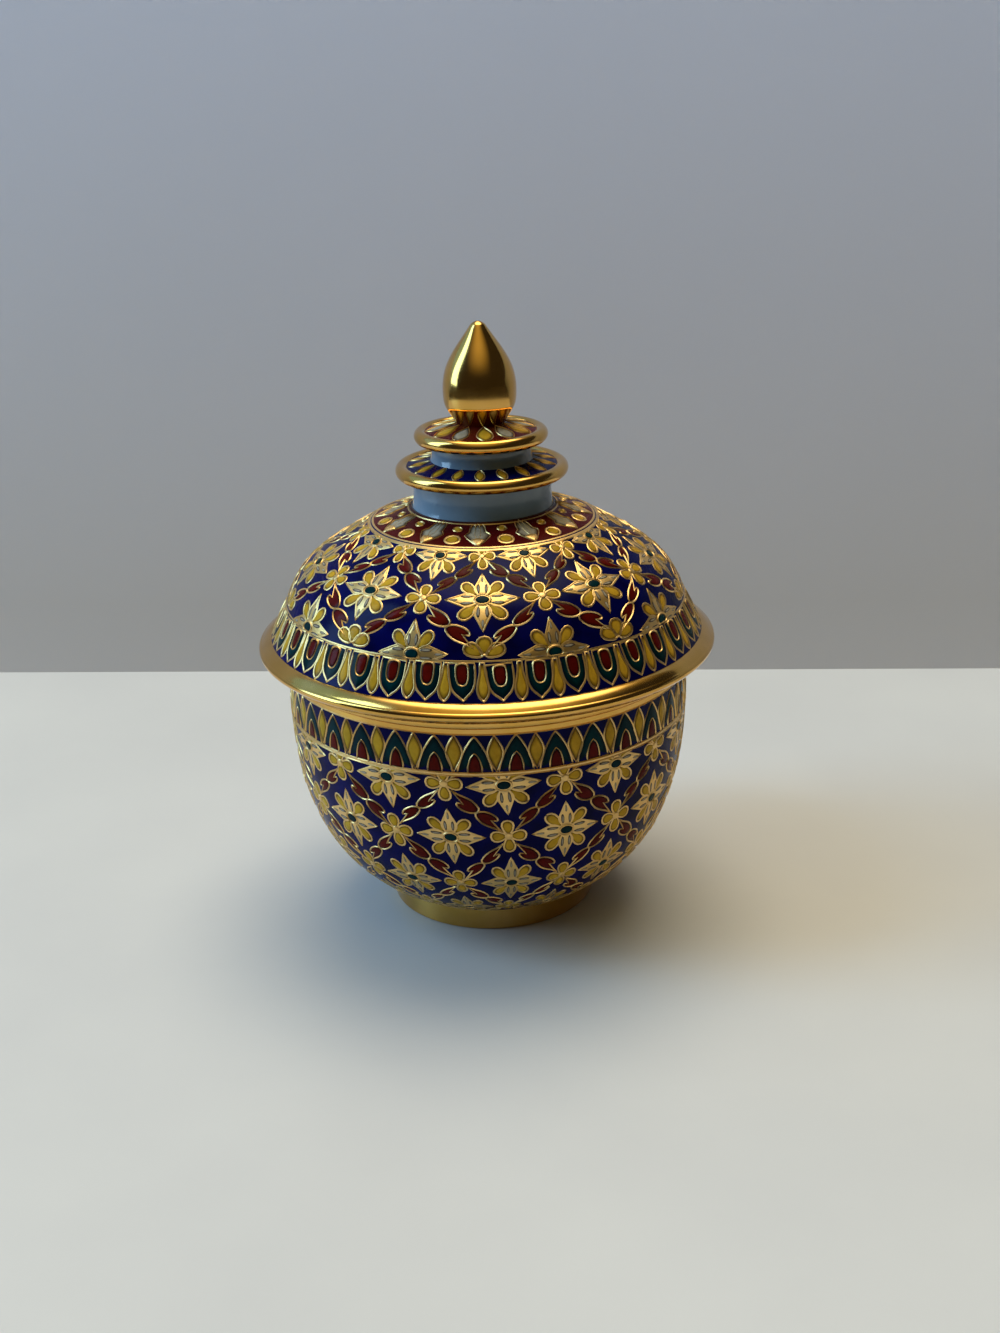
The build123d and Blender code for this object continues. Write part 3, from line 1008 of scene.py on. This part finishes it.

# %% [markdown]
# ## Painting the lid
# The dome has nine star flowers round its shoulder. Half flowers that the band's edges cut stand
# above and below, in the gaps between them, and a sprig of three petals grows under each. The skirt
# below has a frieze of hanging green tongues, and the crown a red band of small tulips and ovals.
# Gold rings lie where the crown, the dome and the skirt meet; an umber line under the neck is painted shade.

# %% Paint the dome
LID_COLUMNS = 18
DOME_ROWS = dome_skin.down_to([78.5, 73.1, 64.7])
DOME_ROW_ABOVE = 9.0
DOME_ROW_BELOW = 11.0
lid_pots = set_of_pots()
dome_lattice = Band(
    dome_skin, 0.75, dome_skin.length - 0.15, LID_COLUMNS,
    [DOME_ROWS[0] - DOME_ROW_ABOVE, *DOME_ROWS, DOME_ROWS[-1] + DOME_ROW_BELOW],
    offsets=-1.0, sway=0.035,
)
dome_painter = Painter(dome_lattice, lid_pots)
hooked_leaves(dome_painter, spots(*lattice_places(LID_COLUMNS, range(4), 1), unsteady=0.6))
small_flowers(dome_painter, spots(*lattice_places(LID_COLUMNS, range(2), 0)))
sprigs(dome_painter, spots(*lattice_places(LID_COLUMNS, [2], 0), across=1.1, tall=1.1))
star_flowers(dome_painter, spots(*lattice_places(LID_COLUMNS, range(2), 1), across=1.06, tall=1.06))
star_flowers(dome_painter, spots(*lattice_places(LID_COLUMNS, [2], 1), across=0.86, tall=1.06))

# %% Paint the skirt
TONGUES = 38
tongue = both_sides([
    (-0.36, 1.0), (-0.36, 0.7), (-0.33, 0.45), (-0.24, 0.26), (-0.11, 0.14), (0.0, 0.04),
])
tongue_heart = both_sides([
    (0.0, 0.98), (-0.15, 0.94), (-0.175, 0.75), (-0.155, 0.56), (-0.09, 0.44), (0.0, 0.41),
])
drop_between = both_sides([
    (-0.06, 1.0), (-0.07, 0.75), (-0.13, 0.5), (-0.165, 0.3), (-0.11, 0.12), (0.0, 0.02),
])
skirt_frieze = one_row(skirt_skin, 0.2, skirt_skin.length - 0.1, TONGUES, offset=3.4)
skirt_painter = Painter(skirt_frieze, lid_pots)
paint_frieze(
    skirt_painter, TONGUES, (tongue, (0, 0.6)), (tongue_heart, None), drop_between,
    width=0.52, heart_width=0.55,
)

# %% Paint the crown
TULIPS = 12
tulip = both_sides([
    (0.0, 0.03), (-0.10, 0.18), (-0.255, 0.46), (-0.18, 0.58), (-0.165, 0.78), (-0.11, 0.93),
    (-0.05, 0.85), (0.0, 0.97),
])
tulip_tip = both_sides([(0.0, 0.03), (-0.08, 0.16), (-0.13, 0.30), (0.0, 0.36)])
tulip_vein = np.array([(-0.02, 0.30), (-0.06, 0.50), (-0.05, 0.84)])
crown_band = one_row(crown_skin, 0.3, crown_skin.length - 0.4, TULIPS, offset=-3.0)
crown_painter = Painter(crown_band, lid_pots)
tulip_places = spots(np.arange(TULIPS), 1)
oval_places = spots(np.arange(TULIPS) + 0.5, 1)
crown_painter.field("pale", tulip, tulip_places, (0, 0.5), gold="frieze", width=0.30)
for side in (-1, 1):
    crown_painter.outline("frieze", tulip_vein * (side, 1), tulip_places, closed=False, width=0.26)
crown_painter.fill("frieze", tulip_tip, tulip_places, shoulder=0.12, crown=0.18)
crown_painter.field("yellow", oval(0, 0.28, 0.14, 0.17), oval_places, gold="frieze", width=0.6)
crown_painter.field("yellow", oval(0, 0.72, 0.10, 0.09), oval_places, gold="frieze")

# %% Ring the lid
CROWN_RING_DOWN = 0.55
gold_ring(crown_skin, lid_pots["frieze"], CROWN_TOP - 0.28)
gold_ring(crown_skin, lid_pots["frieze"], CROWN_EDGE + 0.08, width=0.60, height=0.12)
gold_ring(dome_skin, lid_pots["frieze"], SKIRT_TOP + 0.08, height=0.12)
gold_ring(dome_skin, lid_pots["frieze"], dome_skin.height_at(CROWN_RING_DOWN), width=1.05, height=0.09)
# A dark umber line under the neck: painted shade in the gap between the neck and the crown.
gold_ring(crown_skin, lid_pots["umber"], CROWN_TOP - 0.06, width=0.36, height=0.06)

# %% [markdown]
# The tops of the two discs have a ring of petals each: narrow yellow ones on blue, and broad ones
# on red, yellow and pale in turn.

# %% Paint the tiers
DISC_LINE = 0.30


def paint_disc(skin, petals, offset, side, second_colour):
    """Petals from the neck out to the gilded edge, every other one in the second colour."""
    painter = Painter(one_row(skin, 0.1, skin.length - 0.05, petals, offset), lid_pots)
    petal = both_sides(side)
    for first, colour in ((0, "yellow"), (1, second_colour)):
        painter.field(colour, petal, spots(np.arange(first, petals, 2), 1), gold="frieze", width=DISC_LINE)


slender_petal = [(0.0, 0.02), (-0.14, 0.22), (-0.22, 0.50), (-0.15, 0.80), (0.0, 1.0)]
broad_petal = [(0.0, 0.01), (-0.18, 0.12), (-0.36, 0.36), (-0.32, 0.68), (0.0, 1.0)]
paint_disc(lower_tier_skin, 18, -1.8, slender_petal, "yellow")
paint_disc(upper_tier_skin, 12, 4.1, broad_petal, "pale")
# The lid's umber piece holds the slits' dark edges and the painted shade under the neck.
empty_all(lid_pots, "lid", "lid_slits_and_neck_shade")

# %% [markdown]
# ## Finishes
# A finish is a small recipe of nodes. Writing the arithmetic as Python keeps it readable: a channel
# is one output of a node, and adding or multiplying channels adds the Math nodes.

# %% Channels


class Channel:
    """One output of a node. Arithmetic on it adds Math nodes to the same finish."""

    def __init__(self, finish, socket):
        """The finish that the node is in, and the node's output."""
        self.finish, self.socket = finish, socket

    def maths(self, operation, first, second):
        """A Math node on two values or channels."""
        return self.finish.node("ShaderNodeMath", {"operation": operation}, {0: first, 1: second})

    def __add__(self, other):
        return self.maths("ADD", self, other)

    def __radd__(self, other):
        return self.maths("ADD", other, self)

    def __sub__(self, other):
        return self.maths("SUBTRACT", self, other)

    def __rsub__(self, other):
        return self.maths("SUBTRACT", other, self)

    def __mul__(self, other):
        return self.maths("MULTIPLY", self, other)

    def __rmul__(self, other):
        return self.maths("MULTIPLY", other, self)


# %% Finishes as recipes
CLOUD_ROUGHNESS = 0.55


class Finish:
    """A material's nodes, made one by one."""

    def __init__(self, name, world=None):
        """Takes the material of that name, or a world, and starts its nodes empty."""
        holder = world or finish_named(name)
        holder.use_nodes = True
        self.tree = holder.node_tree
        self.tree.nodes.clear()

    def node(self, kind, settings, sockets, output=0):
        """Adds a node: its settings first, then its sockets' values or links. Gives an output."""
        made = self.tree.nodes.new(kind)
        for name, value in settings.items():
            setattr(made, name, value)
        for name, value in sockets.items():
            if isinstance(value, Channel):
                self.tree.links.new(value.socket, made.inputs[name])
            else:
                made.inputs[name].default_value = value
        return Channel(self, made.outputs[output])

    def places(self):
        """Object coordinates, in metres."""
        return self.node("ShaderNodeTexCoord", {}, {}, "Object")

    def noise(self, size, detail=3.0):
        """Cloudy noise from 0 to 1, whose clouds are about `size` millimetres across."""
        return self.node("ShaderNodeTexNoise", {}, {
            "Vector": self.places(), "Scale": 1 / (size * MM), "Detail": detail,
            "Roughness": CLOUD_ROUGHNESS,
        }, "Fac")

    def number(self, label):
        """A number that the mesh keeps at each point, from 0 to 1."""
        return self.node("ShaderNodeAttribute", {"attribute_name": label}, {}, "Fac")

    def spread(self, value, low, high):
        """A value stretched so that low becomes 0 and high becomes 1, and held there."""
        return self.node("ShaderNodeMapRange", {}, {"Value": value, "From Min": low, "From Max": high})

    def mix(self, share, first, second):
        """Two colours or colour channels mixed by a share."""
        return self.node("ShaderNodeMix", {"data_type": "RGBA"}, {0: share, 6: first, 7: second}, 2)

    def blend(self, share, first, second):
        """Two shaders mixed by a share."""
        return self.node("ShaderNodeMixShader", {}, {0: share, 1: first, 2: second})

    def ray(self, kind):
        """One for a ray of that kind, such as the camera's own, and nothing for any other."""
        return self.node("ShaderNodeLightPath", {}, {}, kind)

    def from_behind(self):
        """One where a face is seen from its back."""
        return self.node("ShaderNodeNewGeometry", {}, {}, "Backfacing")

    def part(self, vector, axis):
        """The X, Y or Z of a vector."""
        return self.node("ShaderNodeSeparateXYZ", {}, {"Vector": vector}, axis)

    def likeness(self, vector, direction):
        """How far a vector points in a direction: the cosine of the angle between them."""
        sockets = {0: vector, 1: direction}
        return self.node("ShaderNodeVectorMath", {"operation": "DOT_PRODUCT"}, sockets, "Value")

    def shine(self, colour, roughness, height=None, depth=0.01, **fixed):
        """A surface shader. height is a channel for bumps of that depth in millimetres."""
        sockets = {"Base Color": colour, "Roughness": roughness}
        sockets.update({name.replace("_", " "): value for name, value in fixed.items()})
        if height is not None:
            sockets["Normal"] = self.node(
                "ShaderNodeBump", {}, {"Strength": 1.0, "Distance": depth * MM, "Height": height}, "Normal",
            )
        return self.node("ShaderNodeBsdfPrincipled", {}, sockets)

    def show(self, shader, kind="ShaderNodeOutputMaterial"):
        """Joins a shader to the output."""
        self.tree.links.new(shader.socket, self.tree.nodes.new(kind).inputs["Surface"])

    def surface(self, *look, **fixed):
        """A finish that is one surface shader."""
        self.show(self.shine(*look, **fixed))


# %% Colours as a screen shows them


def paint(red, green, blue):
    """A colour as a screen shows it, 0 to 255, turned into the linear light that a shader takes."""
    shown = np.array([red, green, blue]) / 255
    linear = np.where(shown <= 0.04045, shown / 12.92, ((shown + 0.055) / 1.055) ** 2.4)
    return (*linear.tolist(), 1.0)


# %% [markdown]
# ### Gold
# Bright gold is a metal film on the glaze: it is smooth, but it follows the slight ripple of the
# thrown wall, and handling leaves it a little duller in patches. Trailed gold is a paste, so it is
# rougher, paler and grained. Umber is a dull brown colour, thin and streaky.

# %% Gold finishes
BRIGHT_GOLD = (0.66, 0.37, 0.075, 1)
RUBBED_GOLD = (0.74, 0.43, 0.12, 1)
PASTE_GOLD = (0.72, 0.46, 0.155, 1)
WORN_GOLD = (0.80, 0.55, 0.24, 1)
DARK_UMBER = (0.030, 0.016, 0.008, 1)
LIGHT_UMBER = (0.07, 0.04, 0.02, 1)

gilding = Finish("gilding")
ripple = gilding.noise(9.0, 1.0)
handling = gilding.spread(gilding.noise(6.0, 4.0), 0.35, 0.75)
specks = gilding.spread(gilding.noise(0.5, 2.0), 0.62, 0.80)
gilding.surface(
    gilding.mix(handling, BRIGHT_GOLD, RUBBED_GOLD),
    0.10 + handling * 0.07 + specks * 0.10, ripple + specks * 0.02, 0.05, Metallic=1.0,
)

raised_gold = Finish("raised_gold")
grain = raised_gold.noise(0.25, 3.0)
worn = raised_gold.spread(raised_gold.noise(3.0, 3.0), 0.40, 0.80)
raised_gold.surface(
    raised_gold.mix(worn, PASTE_GOLD, WORN_GOLD),
    0.32 + worn * 0.10, grain, 0.02, Metallic=0.85,
)

# Umber also paints the shade in the gap under the neck.
umber_line = Finish("umber_line")
streaks = umber_line.spread(umber_line.noise(1.2, 3.0), 0.35, 0.70)
umber_line.surface(umber_line.mix(streaks, DARK_UMBER, LIGHT_UMBER), 0.35 + streaks * 0.1)

# %% [markdown]
# ### Enamels
# An enamel is coloured glass. It is deeper in colour where it lies thick, so each colour goes
# between a thin and a thick mix, by cloudy noise and by the tone of each painted shape. Along the
# gold each one gets painted shade, a dark rim colour that the rim number of each cushion brings in.

# %% Enamel finishes
GLASS_SHINE = 0.045
CLOUD_SHARE = 0.6
TONE_SHARE = 0.4
# How much of the painted shade colour a cushion's rim takes.
RIM_SHADE_SHARE = 0.85


def enamel(name, thin, thick, rim, roughness=0.17, cloud=1.6):
    """Glass over the ground: two mixes of one colour, painted shade at its rim, pinholes, a rippled skin."""
    finish = Finish(name)
    clouds = finish.spread(finish.noise(cloud, 3.0), 0.30, 0.70)
    thinness = clouds * CLOUD_SHARE + finish.number("tone") * TONE_SHARE
    # The rim colour is painted shade along the gold, mixed in by the cushion's rim number.
    colour = finish.mix(finish.number("edge") * RIM_SHADE_SHARE, finish.mix(thinness, thick, thin), rim)
    pinholes = finish.spread(finish.noise(0.35, 2.0), 0.66, 0.78)
    finish.surface(
        colour, roughness + clouds * 0.05 + pinholes * 0.15, clouds * 0.5 - pinholes * 0.3, 0.02,
        Specular_IOR_Level=GLASS_SHINE,
    )


# The third colour of each enamel is its painted shade along the gold.
enamel("yellow_enamel", (0.64, 0.38, 0.030, 1), (0.44, 0.25, 0.015, 1), (0.08, 0.040, 0.008, 1))
enamel("pale_enamel", (0.42, 0.38, 0.29, 1), (0.28, 0.24, 0.17, 1), (0.04, 0.022, 0.008, 1))
enamel("red_enamel", (0.12, 0.006, 0.003, 1), (0.065, 0.003, 0.002, 1), (0.02, 0.002, 0.002, 1))
enamel("teal_enamel", (0.001, 0.034, 0.040, 1), (0.001, 0.014, 0.019, 1), (0.001, 0.006, 0.008, 1))
enamel(
    "cobalt_enamel", (0.001, 0.003, 0.115, 1), (0.001, 0.001, 0.034, 1), (0.001, 0.001, 0.018, 1),
    roughness=0.15, cloud=5.0,
)
enamel(
    "maroon_enamel", (0.11, 0.007, 0.005, 1), (0.06, 0.004, 0.004, 1), (0.02, 0.002, 0.002, 1),
    roughness=0.16, cloud=3.0,
)

# %% [markdown]
# ### Plain glazes
# The necks are left in a grey-blue glaze, and the inside in white. The foot stands on bare clay.

# %% Glaze finishes
IRON_SPECK = (0.08, 0.06, 0.05, 1)
SPECK_SHARE = 0.25


def glaze(name, light, dark, roughness):
    """A plain glaze: slow clouds of two shades, fine specks of iron, and a slightly uneven skin."""
    finish = Finish(name)
    clouds = finish.spread(finish.noise(7.0, 3.0), 0.3, 0.7)
    specks = finish.spread(finish.noise(0.3, 1.0), 0.70, 0.78)
    colour = finish.mix(specks * SPECK_SHARE, finish.mix(clouds, dark, light), IRON_SPECK)
    finish.surface(colour, roughness + clouds * 0.05, clouds - specks * 0.1, 0.02)


glaze("neck_glaze", paint(129, 150, 166), paint(112, 134, 152), 0.08)
glaze("white_glaze", paint(226, 224, 216), paint(214, 211, 202), 0.12)
glaze("bare_clay", paint(214, 206, 192), paint(196, 186, 170), 0.75)

# %% [markdown]
# ## The table, the wall and the light
# The bowl stands on a pale table in front of a pale wall. A tall blue window on the left gives the
# white streaks in the gold. Warm light comes from overhead and a little behind, so it lights the
# lid, and leaves deep shade under the belly and in front of the foot. The room on the camera's side
# is dark but for a faint strip, and so is what the gold sees past the table's edge: that gives it
# deep browns. The wall can be looked through from behind, and it stops no light, so that the bowl
# can be seen from every side.

# %% Set the stage
TABLE_HALF = 2.0
WALL_AWAY = 0.125
WALL_TURN = math.radians(-4.1)
WALL_HEIGHT = 0.22


def plain_sheet(name, corners, finish):
    """One flat face with four corners, in metres."""
    mesh = bpy.data.meshes.new(name)
    mesh.from_pydata(corners, [], [(0, 1, 2, 3)])
    mesh.materials.append(finish_named(finish))
    sheet = bpy.data.objects.new(name, mesh)
    bpy.context.collection.objects.link(sheet)


def wall_corner(along_wall, height):
    """A corner of the wall: so far along it from the middle, and so high."""
    across = along_wall * math.cos(WALL_TURN)
    return (across, WALL_AWAY + along_wall * math.sin(WALL_TURN), height)


plain_sheet("table", [
    (-TABLE_HALF, -TABLE_HALF, 0), (TABLE_HALF, -TABLE_HALF, 0),
    (TABLE_HALF, TABLE_HALF, 0), (-TABLE_HALF, TABLE_HALF, 0),
], "table_top")
plain_sheet("back_wall", [
    wall_corner(-TABLE_HALF, 0), wall_corner(TABLE_HALF, 0),
    wall_corner(TABLE_HALF, WALL_HEIGHT), wall_corner(-TABLE_HALF, WALL_HEIGHT),
], "wall_paint")

# %% [markdown]
# ### The table top and the wall paint
# Both are a little cloudy, and the table is otherwise plain. The table is as wide as the picture needs, but
# past its real
# edge only the camera sees it: mirrored and scattered light finds a dark floor there. From below,
# the camera looks through it at the foot. The wall is there for the camera and for what the gold
# mirrors. Its colour is painted daylight, lighter and bluer towards its top, and a faint glow,
# stronger towards its top, stands in for the daylight on it too.

# %% Finish the table top
TABLE_REACH = 0.38
TABLE_SHADES = (paint(205, 205, 205), paint(210, 210, 209))
DARK_FLOOR = (0.05, 0.045, 0.04, 1)
table_top = Finish("table_top")
mottle = table_top.spread(table_top.noise(60.0, 4.0), 0.3, 0.7)
pale_top = table_top.shine(
    table_top.mix(mottle, *TABLE_SHADES), 0.40 + mottle * 0.1, table_top.noise(2.0), 0.01,
)
away = table_top.node("ShaderNodeVectorMath", {"operation": "LENGTH"}, {0: table_top.places()}, "Value")
past_edge = table_top.node("ShaderNodeMath", {"operation": "GREATER_THAN"}, {0: away, 1: TABLE_REACH})
seen = table_top.ray("Is Camera Ray")
dark_floor = table_top.node("ShaderNodeBsdfDiffuse", {}, {"Color": DARK_FLOOR})
as_seen = table_top.blend(past_edge * (1 - seen), pale_top, dark_floor)
glassy = table_top.node("ShaderNodeBsdfTransparent", {}, {})
table_top.show(table_top.blend(table_top.from_behind() * seen, as_seen, glassy))

# %% Finish the wall
# The wall paint goes from a warm grey low down to a lighter blue grey at its top: painted daylight.
WALL_PAINTED_LIGHT_SHADES = (paint(205, 195, 188), paint(252, 247, 252))
WALL_GLOWS = ((0.020, 0.032, 0.042, 1), (0.050, 0.075, 0.120, 1))
wall_paint = Finish("wall_paint")
wash = wall_paint.spread(wall_paint.noise(300.0, 2.0), 0.3, 0.7)
# Painted daylight: the share of the lighter colour and of the glow grows towards the top.
painted_daylight_share = wall_paint.spread(wall_paint.part(wall_paint.places(), "Z"), 0.02, 0.18)
shade = wall_paint.mix(painted_daylight_share * 0.8 + wash * 0.2, *WALL_PAINTED_LIGHT_SHADES)
matt = wall_paint.node("ShaderNodeBsdfDiffuse", {}, {"Color": shade})
glow = wall_paint.node("ShaderNodeEmission", {}, {"Color": wall_paint.mix(painted_daylight_share, *WALL_GLOWS)})
bright = wall_paint.node("ShaderNodeAddShader", {}, {0: matt, 1: glow})
clear = wall_paint.node("ShaderNodeBsdfTransparent", {}, {})
seen_or_mirrored = wall_paint.ray("Is Camera Ray") + wall_paint.ray("Is Glossy Ray")
solid = seen_or_mirrored * (1 - wall_paint.from_behind())
wall_paint.show(wall_paint.blend(solid, clear, bright))

# %% Hang the window
WINDOW_PLACE = (-1.40, -0.06, 1.20)
WINDOW_WIDTH = 0.60
WINDOW_HEIGHT = 2.2
WINDOW_POWER = 27.0
WINDOW_BLUE = (0.40, 0.68, 1.0)

window_light = bpy.data.lights.new("window", "AREA")
window_light.shape = "RECTANGLE"
window_light.energy = WINDOW_POWER
window_light.size, window_light.size_y = WINDOW_WIDTH, WINDOW_HEIGHT
window_light.color = WINDOW_BLUE
window = bpy.data.objects.new("window", window_light)
window.location = WINDOW_PLACE
window.rotation_euler = Vector((*WINDOW_PLACE[:2], 0)).to_track_quat("Z", "Y").to_euler()
bpy.context.collection.objects.link(window)

# %% [markdown]
# ### The room
# The room is a world whose light depends on the way one looks. Overhead is a soft round patch of
# warm light: how bright it is goes by the cosine of the angle away from its middle. A blue patch
# shines from the back on the left, and a faint yellowish strip climbs over the middle, from front
# to back. The camera itself sees a plain grey room.

# %% Light the room
OVERHEAD = (0.060, 0.290, 0.955)
OVERHEAD_LIGHT = (5.2, 4.7, 3.7, 1)
BACK_LEFT = (-0.75, 0.36, 0.555)
BACK_LEFT_LIGHT = (0.30, 0.55, 0.90, 1)
STRIP_LIGHT = (0.90, 0.74, 0.34, 1)
DARK_ROOM = (0.035, 0.030, 0.025, 1)

room = bpy.data.worlds.new("room")
bpy.context.scene.world = room
air = Finish("room", room)
way = air.node("ShaderNodeTexCoord", {}, {}, "Generated")
overhead = air.node("ShaderNodeMapRange", {"interpolation_type": "SMOOTHSTEP"}, {
    "Value": air.likeness(way, OVERHEAD), "From Min": 0.885, "From Max": 0.985,
})
aside = air.part(way, "X")
climb = air.spread(air.part(way, "Z"), 0.25, 1.0)
strip = climb * climb * air.spread(aside * aside, 0.40, 0.0)
faint = air.mix(strip, DARK_ROOM, STRIP_LIGHT)
dusk = air.mix(air.spread(air.likeness(way, BACK_LEFT), 0.78, 0.98), faint, BACK_LEFT_LIGHT)
lit = air.node("ShaderNodeBackground", {}, {"Color": air.mix(overhead, dusk, OVERHEAD_LIGHT)})
plain = air.node("ShaderNodeBackground", {}, {"Color": paint(160, 165, 174)})
air.show(air.blend(air.ray("Is Camera Ray"), lit, plain), "ShaderNodeOutputWorld")
bpy.context.scene.view_settings.view_transform = "Standard"
